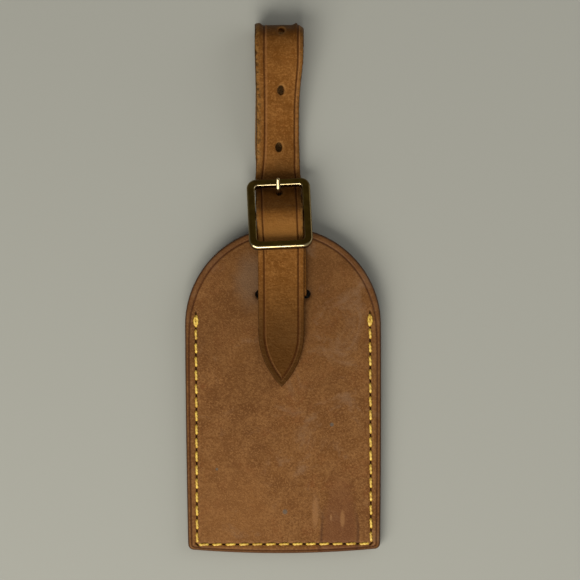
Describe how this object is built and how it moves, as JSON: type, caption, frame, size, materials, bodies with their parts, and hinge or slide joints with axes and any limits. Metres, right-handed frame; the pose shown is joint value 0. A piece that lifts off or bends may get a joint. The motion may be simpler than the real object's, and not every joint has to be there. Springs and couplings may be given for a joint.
{
  "type": "luggage tag",
  "caption": "Arched leather luggage tag with a stitched pocket, on a leather strap that is buckled into a loop with a brass centre-bar buckle.",
  "frame": {"origin": "middle of the bounding box, on the surface the tag lies on", "axes": "+Y from the tag's bottom edge towards the strap loop, +Z out of the front face, +X to the right seen from the front"},
  "size_m": [0.06, 0.1624, 0.0132],
  "materials": {
    "panel_leather": "satin",
    "strap_leather": "satin",
    "thread": "waxed",
    "clear_plastic": "clear",
    "card": "matt",
    "brass": "polished"
  },
  "bodies": {
    "tag": {"front_panel": "panel_leather", "back_panel": "panel_leather", "window_sheet": "clear_plastic", "front_seam_thread": "thread", "back_seam_thread": "thread"},
    "card": {"name_card": "card"},
    "strap_loop": {"strap": "strap_leather", "strap_end_stitching": "thread"},
    "frame": {"buckle_frame": "brass"},
    "tongue": {"prong": "brass"}
  },
  "joints": [
    {"name": "card_slide", "type": "slide", "parent": "tag", "child": "card", "axis": [0, 0.9997, 0.0239], "range_m": [0, 0.005]},
    {"name": "tag_swing", "type": "hinge", "parent": "tag", "child": "strap_loop", "pos_m": [-0.0005, -0.00172, 0.0038], "axis": [0, -0.0239, 0.9997], "range_deg": [-4, 4]},
    {"name": "buckle_rock", "type": "hinge", "parent": "strap_loop", "child": "frame", "pos_m": [-0.0005, 0.0223, 0.00732], "axis": [-1, 0, 0], "range_deg": [0, 2.5]},
    {"name": "prong_lift", "type": "hinge", "parent": "frame", "child": "tongue", "pos_m": [-0.0005, 0.0223, 0.00732], "axis": [1, 0, 0], "range_deg": [0, 5]}
  ]
}
